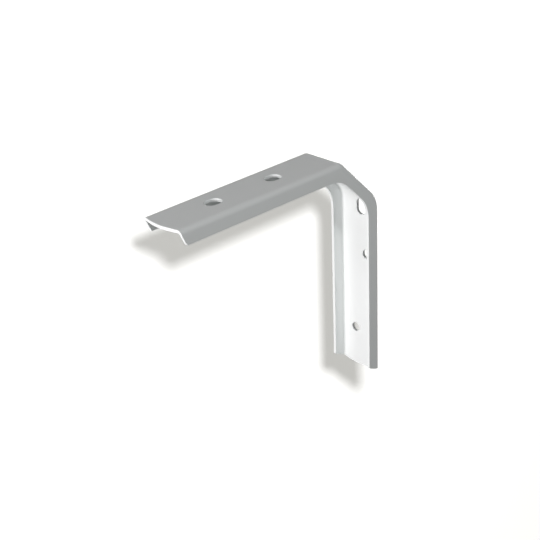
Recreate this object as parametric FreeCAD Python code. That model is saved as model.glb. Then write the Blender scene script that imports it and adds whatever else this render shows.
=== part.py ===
import FreeCAD, Part
import math
import os

# Shelf bracket, pressed from one piece of sheet steel and painted.
# Its section is a shallow channel: a flat web with a flange folded along each long side.
# The web turns from the shelf arm into the wall arm over a slanting corner, and the flanges run on round it.
# X points away from the wall, Y across the bracket and Z up.
# The wall lies on X = 0, and the origin is the centre of the flat face that bears on it.

# Driving dimensions in millimetres. Lengths along the arms are to the outer faces.
SHEET = 1.8                  # thickness of the sheet
WIDTH = 29.0                 # over both flanges
FLANGE = 9.4                 # from the outer face of the web to a flange's free edge
FOLD_INSIDE = 1.2            # inside radius of the fold between web and flange
SHELF_ARM = 150.6            # from the wall to the tip of the shelf arm
WALL_ARM = 143.0             # from the shelf down to the tip of the wall arm
SHELF_LEVEL = 90.0           # height of the shelf's underside above the origin

# The corner, where the web slants across at 45 degrees.
CORNER_LEG = 30.0            # what the slant takes off each arm, measured to the sharp corner
CORNER_FLANGE = 7.8          # depth of the flanges, square to the slant
SHELF_BEND_INSIDE = 4.2      # inside radius of the tight bend below the shelf
WALL_BEND_INSIDE = 16.2      # inside radius of the easy bend above the wall arm
GUSSET_RADIUS = 20.0         # radius in which a flange's free edge turns at either end of the slant

# Both arms end in an arc that was cut in the flat sheet, so their folded flanges sweep back.
# The arcs are centred on the arm's middle line.
SHELF_END_RADIUS = 40.0
WALL_END_RADIUS = 44.0
TIP_RADIUS = 1.0             # rounding of each flange's pointed tip

# Two slots lie lengthwise in the shelf arm. Every slot is equally long.
SLOT_LENGTH = 10.0           # end to end
SHELF_SLOT_WIDTH = 7.4
SHELF_LINE = 0.5             # how far the two slots' line lies to the -Y side of the middle
SHELF_SLOT_PITCH = 43.3      # between the two slots' centres
SHELF_SLOT_TO_TIP = 37.8     # from the outer slot's centre to the tip of the arm

# One slot and two round holes in the wall arm. The round holes lie to either side of the slot's line.
WALL_SLOT_WIDTH = 6.4
WALL_LINE = 1.9              # how far that line lies to the +Y side of the middle
WALL_SLOT_BELOW_CORNER = 8.2
MIDDLE_HOLE_BELOW_SLOT = 29.5
LOWER_HOLE_TO_TIP = 24.6
ROUND_HOLE = 5.7             # diameter
MIDDLE_HOLE_ASIDE = 3.9      # from the slot's line to +Y
LOWER_HOLE_ASIDE = 4.9       # from the slot's line to -Y

EDGE_SOFTENING = 0.3         # the sheared edges as the press and the paint leave them
PUNCH_DRAG = 0.45            # rounding of a hole's rim where the punch goes in

FOLD_OUTSIDE = FOLD_INSIDE + SHEET
FOLD_CENTRE = WIDTH / 2.0 - FOLD_OUTSIDE
NEUTRAL_RADIUS = FOLD_INSIDE + SHEET / 2.0
FOLD_LENGTH = NEUTRAL_RADIUS * math.pi / 2.0
DIAGONAL = math.sqrt(2.0)
SPARE = 2.0 * SHEET          # how far raw shapes run past what trims them
CLOSE = 1e-4                 # points nearer than this are the same point


def on_shelf_arm(along, across, depth):
    """The point at a distance from the wall, from the middle plane and below the shelf's underside."""
    return FreeCAD.Vector(along, across, SHELF_LEVEL - depth)


def on_wall_arm(along, across, depth):
    """The point at a distance below the shelf's underside, from the middle plane and in front of the wall."""
    return FreeCAD.Vector(depth, across, SHELF_LEVEL - along)


def rounded_line(corners):
    """Edges in the middle plane. A corner is its distance from the wall and below the shelf, and its radius."""
    points = [on_shelf_arm(from_wall, 0.0, below) for from_wall, below, _ in corners]
    edges = []
    reached = points[0]
    for before, here, after, corner in zip(points, points[1:], points[2:], corners[1:]):
        radius = corner[2]
        back = (before - here).normalize()
        onward = (after - here).normalize()
        half_angle = back.getAngle(onward) / 2.0
        tangent = radius / math.tan(half_angle)
        inward = (back + onward).normalize()
        middle = here + inward * (radius / math.sin(half_angle) - radius)
        edges.append(Part.LineSegment(reached, here + back * tangent).toShape())
        edges.append(Part.Arc(here + back * tangent, middle, here + onward * tangent).toShape())
        reached = here + onward * tangent
    edges.append(Part.LineSegment(reached, points[-1]).toShape())
    return edges


def web_form(web_line, inner_line, width, fold_radius):
    """A solid between two lines of the side view, its long edges on the web side rounded as the folds."""
    web_start = web_line[0].valueAt(web_line[0].FirstParameter)
    web_end = web_line[-1].valueAt(web_line[-1].LastParameter)
    inner_start = inner_line[0].valueAt(inner_line[0].FirstParameter)
    inner_end = inner_line[-1].valueAt(inner_line[-1].LastParameter)
    closing = [
        Part.LineSegment(web_end, inner_start).toShape(),
        Part.LineSegment(inner_end, web_start).toShape(),
    ]
    face = Part.Face(Part.Wire(web_line + closing[:1] + inner_line + closing[1:]))
    face.translate(FreeCAD.Vector(0.0, -width / 2.0, 0.0))
    solid = face.extrude(FreeCAD.Vector(0.0, width, 0.0))
    web = Part.Wire(web_line)
    folds = []
    for edge in solid.Edges:
        middle = edge.valueAt((edge.FirstParameter + edge.LastParameter) / 2.0)
        side_view = FreeCAD.Vector(middle.x, 0.0, middle.z)
        at_side = abs(abs(middle.y) - width / 2.0) < CLOSE
        if at_side and web.distToShape(Part.Vertex(side_view))[0] < CLOSE:
            folds.append(edge)
    return solid.makeFillet(fold_radius, folds)


def pressed_channel():
    """The folded sheet with raw ends: its outer form, less the form of the tool that presses its inside."""
    shelf_end = SHELF_ARM + SPARE
    wall_end = WALL_ARM + SPARE
    gusset = CORNER_LEG + CORNER_FLANGE * DIAGONAL - FLANGE
    slant_inside = CORNER_LEG + SHEET * DIAGONAL - SHEET
    outer_web = rounded_line(
        [
            (shelf_end, 0.0, 0.0),
            (CORNER_LEG, 0.0, SHELF_BEND_INSIDE + SHEET),
            (0.0, CORNER_LEG, WALL_BEND_INSIDE + SHEET),
            (0.0, wall_end, 0.0),
        ]
    )
    free_edge = rounded_line(
        [
            (FLANGE, wall_end, 0.0),
            (FLANGE, gusset, GUSSET_RADIUS),
            (gusset, FLANGE, GUSSET_RADIUS),
            (shelf_end, FLANGE, 0.0),
        ]
    )
    inner_web = rounded_line(
        [
            (shelf_end + SPARE, SHEET, 0.0),
            (slant_inside, SHEET, SHELF_BEND_INSIDE),
            (SHEET, slant_inside, WALL_BEND_INSIDE),
            (SHEET, wall_end + SPARE, 0.0),
        ]
    )
    tool_back = [
        Part.LineSegment(
            on_shelf_arm(FLANGE, 0.0, wall_end + SPARE),
            on_shelf_arm(shelf_end + SPARE, 0.0, FLANGE),
        ).toShape()
    ]
    outer = web_form(outer_web, free_edge, WIDTH, FOLD_OUTSIDE)
    tool = web_form(inner_web, tool_back, WIDTH - 2.0 * SHEET, FOLD_INSIDE)
    return outer.cut(tool)


def blank_arc_point(place, arm_length, end_radius, flat, inset):
    """The point of the blank's end arc at a distance from the middle line of the flat sheet, after folding.

    The sheet's half thickness keeps its length in the fold. inset is the distance below the outer face.
    """
    along = arm_length - end_radius + math.sqrt(end_radius ** 2 - flat ** 2)
    side = math.copysign(1.0, flat)
    beyond = abs(flat) - FOLD_CENTRE
    if beyond <= 0.0:
        return place(along, flat, inset)
    if beyond >= FOLD_LENGTH:
        return place(along, side * (WIDTH / 2.0 - inset), FOLD_OUTSIDE + beyond - FOLD_LENGTH)
    turn = beyond / NEUTRAL_RADIUS
    radius = FOLD_OUTSIDE - inset
    across = side * (FOLD_CENTRE + radius * math.sin(turn))
    return place(along, across, FOLD_OUTSIDE - radius * math.cos(turn))


def end_cutters(place, arm_length, end_radius):
    """What the blank's end arc takes off an arm: the arc's edge face carried outwards, square to the sheet.

    The edge is a true arc in the web and in each flange, and a smooth curve joins them round each fold.
    """
    fold_end = FOLD_CENTRE + FOLD_LENGTH
    flange_end = fold_end + FLANGE - FOLD_OUTSIDE + SHEET
    stations = [-flange_end, -fold_end, -FOLD_CENTRE, FOLD_CENTRE, fold_end, flange_end]
    clear = FOLD_INSIDE / 2.0
    lines = []
    for inset in (-clear, SHEET + clear):
        arcs = []
        for start, finish in zip(stations[0::2], stations[1::2]):
            marks = [start, (start + finish) / 2.0, finish]
            points = [blank_arc_point(place, arm_length, end_radius, flat, inset) for flat in marks]
            arcs.append(Part.Arc(*points))
        edges = [arcs[0].toShape()]
        for before, after, start in zip(arcs, arcs[1:], stations[1::2]):
            marks = [start + FOLD_LENGTH * quarter / 4.0 for quarter in range(5)]
            curve = Part.BSplineCurve()
            curve.interpolate(
                [blank_arc_point(place, arm_length, end_radius, flat, inset) for flat in marks],
                InitialTangent=before.tangent(before.LastParameter)[0],
                FinalTangent=after.tangent(after.FirstParameter)[0],
            )
            edges.append(curve.toShape())
            edges.append(after.toShape())
        lines.append(edges)
    outward = place(end_radius, 0.0, 0.0) - place(0.0, 0.0, 0.0)
    cutters = []
    for outer, inner in zip(*lines):
        through_sheet = inner.Vertexes[0].Point - outer.Vertexes[0].Point
        if outer.Curve.TypeId == "Part::GeomCircle":
            edge_face = outer.extrude(through_sheet)
        else:
            edge_face = Part.makeRuledSurface(outer, inner)
        cutters.append(edge_face.extrude(outward))
    return cutters


def punch(place, along, across, length, width):
    """The tool for a hole square to an arm: a slot along it, or a round hole if length equals width."""
    radius = width / 2.0
    reach = (length - width) / 2.0
    depth = -SHEET
    if reach > CLOSE:
        near, far = along - reach, along + reach
        corners = [
            place(near, across - radius, depth),
            place(near, across + radius, depth),
            place(far, across + radius, depth),
            place(far, across - radius, depth),
        ]
        outline = [
            Part.Arc(corners[0], place(near - radius, across, depth), corners[1]).toShape(),
            Part.LineSegment(corners[1], corners[2]).toShape(),
            Part.Arc(corners[2], place(far + radius, across, depth), corners[3]).toShape(),
            Part.LineSegment(corners[3], corners[0]).toShape(),
        ]
    else:
        through = place(0.0, 0.0, 1.0) - place(0.0, 0.0, 0.0)
        outline = [Part.makeCircle(radius, place(along, across, depth), through)]
    return Part.Face(Part.Wire(outline)).extrude(place(0.0, 0.0, FLANGE) - place(0.0, 0.0, 0.0))


def hole_punches():
    """Every hole of the bracket."""
    outer_slot = SHELF_ARM - SHELF_SLOT_TO_TIP
    wall_slot = CORNER_LEG + WALL_SLOT_BELOW_CORNER
    middle_hole = wall_slot + MIDDLE_HOLE_BELOW_SLOT
    lower_hole = WALL_ARM - LOWER_HOLE_TO_TIP
    return [
        punch(on_shelf_arm, outer_slot, -SHELF_LINE, SLOT_LENGTH, SHELF_SLOT_WIDTH),
        punch(on_shelf_arm, outer_slot - SHELF_SLOT_PITCH, -SHELF_LINE, SLOT_LENGTH, SHELF_SLOT_WIDTH),
        punch(on_wall_arm, wall_slot, WALL_LINE, SLOT_LENGTH, WALL_SLOT_WIDTH),
        punch(on_wall_arm, middle_hole, WALL_LINE + MIDDLE_HOLE_ASIDE, ROUND_HOLE, ROUND_HOLE),
        punch(on_wall_arm, lower_hole, WALL_LINE - LOWER_HOLE_ASIDE, ROUND_HOLE, ROUND_HOLE),
    ]


def sharp_edges(solid):
    """The edges at which two faces meet at a clear angle."""
    sharp = []
    for edge in solid.Edges:
        faces = solid.ancestorsOfType(edge, Part.Face)
        if len(faces) < 2:
            continue
        middle = edge.valueAt((edge.FirstParameter + edge.LastParameter) / 2.0)
        normals = [face.normalAt(*face.Surface.parameter(middle)) for face in faces]
        if normals[0].getAngle(normals[1]) > math.radians(30.0):
            sharp.append(edge)
    return sharp


def round_tips(solid):
    """Round the four flange tips, whose edges run straight through the sheet, across the bracket."""
    tips = []
    for edge in sharp_edges(solid):
        along_edge = edge.Vertexes[-1].Point - edge.Vertexes[0].Point
        if abs(abs(along_edge.y) - SHEET) < CLOSE and abs(along_edge.Length - SHEET) < CLOSE:
            tips.append(edge)
    return solid.makeFillet(TIP_RADIUS, tips)


def bracket():
    """The finished bracket. Its outline is softened on both sides, and its holes where the punch goes in.

    The shelf arm is punched from outside and the wall arm from inside the channel.
    """
    cutters = end_cutters(on_shelf_arm, SHELF_ARM, SHELF_END_RADIUS)
    cutters += end_cutters(on_wall_arm, WALL_ARM, WALL_END_RADIUS)
    trimmed = round_tips(pressed_channel().cut(cutters))
    softened = trimmed.makeFillet(EDGE_SOFTENING, sharp_edges(trimmed))
    punched = softened.cut(hole_punches())
    rims = []
    for edge in sharp_edges(punched):
        centre = edge.CenterOfMass
        outside_shelf_arm = centre.z > SHELF_LEVEL - SHEET / 2.0
        inside_wall_arm = SHEET / 2.0 < centre.x < FLANGE
        if outside_shelf_arm or inside_wall_arm:
            rims.append(edge)
    return punched.makeFillet(PUNCH_DRAG, rims)


part = bracket()
if not part.isValid() or len(part.Solids) != 1:
    raise ValueError("the bracket isn't one sound solid")
os.makedirs("parts", exist_ok=True)
part.exportStep("parts/bracket.step")
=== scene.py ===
import math

import bpy
import numpy as np
from mathutils import Matrix, Vector


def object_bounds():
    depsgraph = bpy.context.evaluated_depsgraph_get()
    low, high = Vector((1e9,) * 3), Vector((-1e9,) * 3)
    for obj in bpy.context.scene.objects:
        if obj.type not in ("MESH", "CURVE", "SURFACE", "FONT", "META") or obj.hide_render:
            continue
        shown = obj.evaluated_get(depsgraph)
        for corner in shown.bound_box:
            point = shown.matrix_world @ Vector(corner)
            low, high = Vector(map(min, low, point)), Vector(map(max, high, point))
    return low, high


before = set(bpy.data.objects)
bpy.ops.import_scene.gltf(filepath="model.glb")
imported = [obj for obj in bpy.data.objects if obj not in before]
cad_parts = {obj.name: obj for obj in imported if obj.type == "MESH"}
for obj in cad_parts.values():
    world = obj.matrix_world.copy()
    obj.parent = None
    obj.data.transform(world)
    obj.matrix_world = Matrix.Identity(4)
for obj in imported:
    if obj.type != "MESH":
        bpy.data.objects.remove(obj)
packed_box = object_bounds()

# The bracket is one blank of sheet steel, sheared and punched flat and then folded. It is
# degreased and coated all over with white powder paint, which is baked on, so the coat has a
# faint orange peel and lies a little uneven. Lengths are in metres, here and below.
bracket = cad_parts["bracket"]

PAINT_COLOUR = (0.775, 0.7995, 0.7925, 1.0)
THIN_PAINT_COLOUR = (0.75, 0.774, 0.767, 1.0)
PAINT_IOR = 1.5
PAINT_SPECULAR_LEVEL = 0.2
THIN_PLACE_SIZE = 0.022
THIN_PLACE_DETAIL = 2.0
GRAIN_SIZE = 0.00018
GRAIN_DETAIL = 2.0
GRAIN_ROUGHNESS = (0.4, 0.48)             # in its smoothest and in its roughest spots
PEEL_SIZE = 0.0011                        # from one dimple of the orange peel to the next
PEEL_DETAIL = 1.0
PEEL_DEPTH = 0.000004


def powder_paint():
    """White baked powder paint: a semi-gloss coat with thin places, fine grain and orange peel."""
    paint = bpy.data.materials.new("white_powder_paint")
    paint.use_nodes = True
    nodes = paint.node_tree.nodes
    links = paint.node_tree.links
    coat = nodes["Principled BSDF"]
    coat.inputs["IOR"].default_value = PAINT_IOR
    coat.inputs["Specular IOR Level"].default_value = PAINT_SPECULAR_LEVEL
    place = nodes.new("ShaderNodeTexCoord")

    def spots(size, detail):
        """The output of a noise that is fixed to the bracket, with spots of this size."""
        noise = nodes.new("ShaderNodeTexNoise")
        noise.inputs["Scale"].default_value = 1.0 / size
        noise.inputs["Detail"].default_value = detail
        links.new(place.outputs["Object"], noise.inputs["Vector"])
        return noise.outputs["Fac"]

    shade = nodes.new("ShaderNodeMix")
    shade.data_type = "RGBA"
    shade.inputs["A"].default_value = PAINT_COLOUR
    shade.inputs["B"].default_value = THIN_PAINT_COLOUR
    links.new(spots(THIN_PLACE_SIZE, THIN_PLACE_DETAIL), shade.inputs["Factor"])
    links.new(shade.outputs["Result"], coat.inputs["Base Color"])

    gloss = nodes.new("ShaderNodeMapRange")
    gloss.inputs["To Min"].default_value = GRAIN_ROUGHNESS[0]
    gloss.inputs["To Max"].default_value = GRAIN_ROUGHNESS[1]
    links.new(spots(GRAIN_SIZE, GRAIN_DETAIL), gloss.inputs["Value"])
    links.new(gloss.outputs["Result"], coat.inputs["Roughness"])

    dimples = nodes.new("ShaderNodeBump")
    dimples.inputs["Strength"].default_value = 1.0
    dimples.inputs["Distance"].default_value = PEEL_DEPTH
    links.new(spots(PEEL_SIZE, PEEL_DETAIL), dimples.inputs["Height"])
    links.new(dimples.outputs["Normal"], coat.inputs["Normal"])
    return paint


bracket.data.materials.clear()
bracket.data.materials.append(powder_paint())

# The backdrop is a sheet of white paper. It stands behind the bracket, parallel to it, and takes
# its soft shadow. It shows from its front only and throws no light or shade back, so the bracket
# can be seen from all round and gets all its light from the studio.
PAPER_GAP = 0.12                          # from the bracket's far side to the paper
PAPER_SIZE = 1.6
PAPER_COLOUR = (1.0, 1.0, 1.0, 1.0)
PAPER_IN_SHADE = (0.526, 0.522, 0.496, 1.0)   # what is left of it in the deepest shadow
bpy.ops.mesh.primitive_plane_add(
    size=PAPER_SIZE,
    location=(0.0, packed_box[0].y - PAPER_GAP, 0.0),
    rotation=(-math.pi / 2.0, 0.0, 0.0),
)
paper = bpy.context.object
paper.name = "backdrop"
paper.visible_diffuse = False
paper.visible_glossy = False
paper.visible_transmission = False
paper.visible_shadow = False

sheet = bpy.data.materials.new("backdrop_paper")
sheet.use_nodes = True
nodes = sheet.node_tree.nodes
links = sheet.node_tree.links
nodes.clear()
matt = nodes.new("ShaderNodeBsdfDiffuse")
matt.inputs["Color"].default_value = PAPER_COLOUR
glow = nodes.new("ShaderNodeEmission")
glow.inputs["Color"].default_value = PAPER_IN_SHADE
front = nodes.new("ShaderNodeAddShader")
links.new(matt.outputs["BSDF"], front.inputs[0])
links.new(glow.outputs["Emission"], front.inputs[1])
clear = nodes.new("ShaderNodeBsdfTransparent")
facing = nodes.new("ShaderNodeNewGeometry")
either_side = nodes.new("ShaderNodeMixShader")
links.new(facing.outputs["Backfacing"], either_side.inputs["Fac"])
links.new(front.outputs["Shader"], either_side.inputs[1])
links.new(clear.outputs["BSDF"], either_side.inputs[2])
surface = nodes.new("ShaderNodeOutputMaterial")
links.new(either_side.outputs["Shader"], surface.inputs["Surface"])
paper.data.materials.append(sheet)

# The studio is white all round to the camera, in reflections and through clear things. The
# bracket gets only a low plain light from it.
WORLD_FILL = 0.02
world = bpy.data.worlds.new("studio")
bpy.context.scene.world = world
world.use_nodes = True
nodes = world.node_tree.nodes
links = world.node_tree.links
background = nodes["Background"]
background.inputs["Color"].default_value = (1.0, 1.0, 1.0, 1.0)
ray = nodes.new("ShaderNodeLightPath")
sees_white = ray.outputs["Is Camera Ray"]
for kind in ("Is Glossy Ray", "Is Transmission Ray"):
    either_ray = nodes.new("ShaderNodeMath")
    either_ray.operation = "MAXIMUM"
    links.new(sees_white, either_ray.inputs[0])
    links.new(ray.outputs[kind], either_ray.inputs[1])
    sees_white = either_ray.outputs["Value"]
strength = nodes.new("ShaderNodeMapRange")
strength.inputs["To Min"].default_value = WORLD_FILL
strength.inputs["To Max"].default_value = 1.0
links.new(sees_white, strength.inputs["Value"])
links.new(strength.outputs["Result"], background.inputs["Strength"])

# The lamps are round. Six soft ones light the bracket and leave the paper out. One small lamp
# beside the camera lights the paper alone and casts the bracket's shadow on it.
LAMP_AIM = Vector((0.05, 0.0, 0.04))      # a point between the two arms
LAMP_DISTANCE = 1.25
WHITE = (1.0, 1.0, 1.0)
WARM_WHITE = (1.0, 0.968, 0.977)

all_but_paper = bpy.data.collections.new("all_but_paper")
all_but_paper.objects.link(paper)
all_but_paper.collection_objects[0].light_linking.link_state = "EXCLUDE"
only_paper = bpy.data.collections.new("only_paper")
only_paper.objects.link(paper)


def round_lamp(name, side, size, level, colour=WHITE, lit=all_but_paper, distance=LAMP_DISTANCE):
    """A round lamp on one side of the bracket. The collection lit says which things it lights.

    level is the light that it gives a white surface at the bracket that faces it.
    """
    away = distance * Vector(side).normalized()
    lamp = bpy.data.lights.new(name, "AREA")
    lamp.shape = "DISK"
    lamp.size = size
    lamp.color = colour
    lamp.energy = level * math.pi ** 2 * away.length_squared
    body = bpy.data.objects.new(name, lamp)
    bpy.context.scene.collection.objects.link(body)
    body.location = LAMP_AIM + away
    body.rotation_euler = away.to_track_quat("Z", "Y").to_euler()
    body.visible_camera = False
    body.light_linking.receiver_collection = lit
    return lamp


round_lamp("side_lamp", side=(1.0, -0.08, 0.12), size=0.4, level=1.065, colour=WARM_WHITE)
round_lamp("high_side_lamp", side=(0.9, 0.0, 0.45), size=0.2, level=0.11, colour=WARM_WHITE)
round_lamp("front_lamp", side=(0.15, 0.66, 0.68), size=0.15, level=0.3)
round_lamp("low_front_lamp", side=(0.35, 0.9, 0.17), size=0.15, level=0.16)
round_lamp("back_lamp", side=(-0.8, -0.6, -0.18), size=0.7, level=0.52)
round_lamp("under_lamp", side=(0.15, 0.15, -1.0), size=0.9, level=0.2)

# The shadow lamp's light doesn't fade with distance, so the paper is evenly lit.
SHADOW_LAMP_DISTANCE = 0.785
shadow_lamp = round_lamp(
    "shadow_lamp",
    side=(0.454, 0.511, 0.379),
    size=0.045,
    level=1.04,
    lit=only_paper,
    distance=SHADOW_LAMP_DISTANCE,
)
shadow_lamp.use_nodes = True
nodes = shadow_lamp.node_tree.nodes
links = shadow_lamp.node_tree.links
falloff = nodes.new("ShaderNodeLightFalloff")
falloff.inputs["Strength"].default_value = 1.0 / SHADOW_LAMP_DISTANCE ** 2
links.new(falloff.outputs["Constant"], nodes["Emission"].inputs["Strength"])

# The camera stands out from the wall and to one side, a little above the shelf arm, and leans
# slightly. Its place follows from where the sharp corner of shelf and wall falls in the picture.
VIEW_AZIMUTH = 46.122                     # in degrees from +X towards +Y
VIEW_ELEVATION = 25.71
VIEW_ROLL = -2.308
VIEW_DISTANCE = 0.79039                   # along the view, from the camera to the corner
FOCAL_LENGTH_PX = 1397.12
IMAGE_SIZE = 540
CORNER_PX = (359.894, 142.453)            # from the picture's left and from its top
azimuth, elevation, roll = np.radians([VIEW_AZIMUTH, VIEW_ELEVATION, VIEW_ROLL])
back = np.array([
    math.cos(elevation) * math.cos(azimuth),
    math.cos(elevation) * math.sin(azimuth),
    math.sin(elevation),
])
level_right = np.array([-math.sin(azimuth), math.cos(azimuth), 0.0])
level_up = np.cross(back, level_right)
right = math.cos(roll) * level_right + math.sin(roll) * level_up
up = math.cos(roll) * level_up - math.sin(roll) * level_right
corner = np.array([0.0, 0.0, packed_box[1].z])
metre_per_px = VIEW_DISTANCE / FOCAL_LENGTH_PX
eye = (
    corner
    - (CORNER_PX[0] - IMAGE_SIZE / 2.0) * metre_per_px * right
    + (CORNER_PX[1] - IMAGE_SIZE / 2.0) * metre_per_px * up
    + VIEW_DISTANCE * back
)
lens = bpy.data.cameras.new("camera")
lens.lens = FOCAL_LENGTH_PX / IMAGE_SIZE * lens.sensor_width
camera = bpy.data.objects.new("camera", lens)
bpy.context.scene.collection.objects.link(camera)
turn = np.eye(4)
turn[:3, 0] = right
turn[:3, 1] = up
turn[:3, 2] = back
turn[:3, 3] = eye
camera.matrix_world = Matrix(turn.tolist())
bpy.context.scene.camera = camera
bpy.context.scene.view_settings.view_transform = "Standard"
